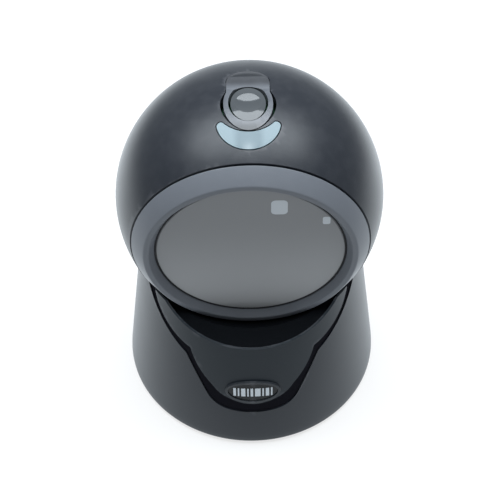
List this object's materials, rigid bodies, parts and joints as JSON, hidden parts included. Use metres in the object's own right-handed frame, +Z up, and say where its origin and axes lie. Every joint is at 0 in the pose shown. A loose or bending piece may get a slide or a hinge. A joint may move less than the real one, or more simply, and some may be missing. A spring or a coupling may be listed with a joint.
{
  "type": "presentation barcode scanner",
  "caption": "Hands-free scanner: ball head with a round window and press button, tilting in a flared cup base on rubber feet.",
  "frame": {"origin": "centre of the footprint on the surface that the rubber feet rest on", "axes": "+Z up, the scan window faces -Y, +X to the right of someone behind the scanner's window plane looking along +Y; the tilt axis is parallel to X"},
  "size_m": [0.097, 0.097, 0.1388],
  "materials": {
    "charcoal_shell": "fine satin texture",
    "slate_panel": "satin",
    "black_trim": "matt",
    "grey_frame": "satin",
    "collar_plastic": "semi-gloss",
    "inner_plastic": "moulded",
    "black_rubber": "soft",
    "tinted_window": "polished",
    "smoky_button": "clear, polished",
    "lens_glass": "coated",
    "pale_lens": "frosted",
    "reflector_metal": "bright",
    "badge_black": "polished",
    "badge_silver": "satin",
    "board_green": "solder mask",
    "lamp_white": "potted",
    "zinc_steel": "zinc plated",
    "washer_plastic": "waxy",
    "contact_gold": "gold flash"
  },
  "bodies": {
    "base": {"base_shell": "charcoal_shell", "front_panel": "slate_panel", "trim_band": "black_trim", "badge_plate": "badge_black", "badge_bars": "badge_silver", "cradle": "black_trim", "pivot_post": "inner_plastic", "bottom_plate": "inner_plastic", "rubber_feet": "black_rubber", "bottom_screws": "zinc_steel", "ballast_plate": "zinc_steel", "post_screws": "zinc_steel", "jack_board": "board_green", "cable_socket": "inner_plastic", "socket_contacts": "contact_gold"},
    "head": {"head_upper_shell": "charcoal_shell", "head_lower_shell": "charcoal_shell", "button_collar": "collar_plastic", "switch_board": "board_green", "switch_board_screw": "zinc_steel", "tact_switch": "inner_plastic", "status_lens": "pale_lens", "status_leds": "lamp_white", "bezel_ring": "grey_frame", "window_gasket": "black_rubber", "scan_window": "tinted_window", "chassis": "inner_plastic", "shell_screws": "zinc_steel", "bezel_screws": "zinc_steel", "main_board": "board_green", "board_screws": "zinc_steel", "board_chips": "inner_plastic", "illumination_leds": "lamp_white", "buzzer": "inner_plastic", "camera_housing": "black_trim", "lens_barrel": "black_trim", "camera_lens": "lens_glass", "light_shroud": "black_trim", "tilt_bracket": "zinc_steel", "bracket_screws": "zinc_steel", "pivot_pin": "zinc_steel", "retaining_ring": "zinc_steel", "friction_washers": "washer_plastic"},
    "button": {"trigger_button": "smoky_button", "button_reflector": "reflector_metal"}
  },
  "joints": [
    {"name": "head_tilt", "type": "hinge", "parent": "base", "child": "head", "pos_m": [0, 0, 0.0913], "axis": [1, 0, 0], "range_deg": [-20, 12]},
    {"name": "button_press", "type": "slide", "parent": "head", "child": "button", "axis": [0, 0, -1], "range_m": [0, 0.001], "stiffness_N_per_m": 800, "springref_m": -0.001}
  ]
}
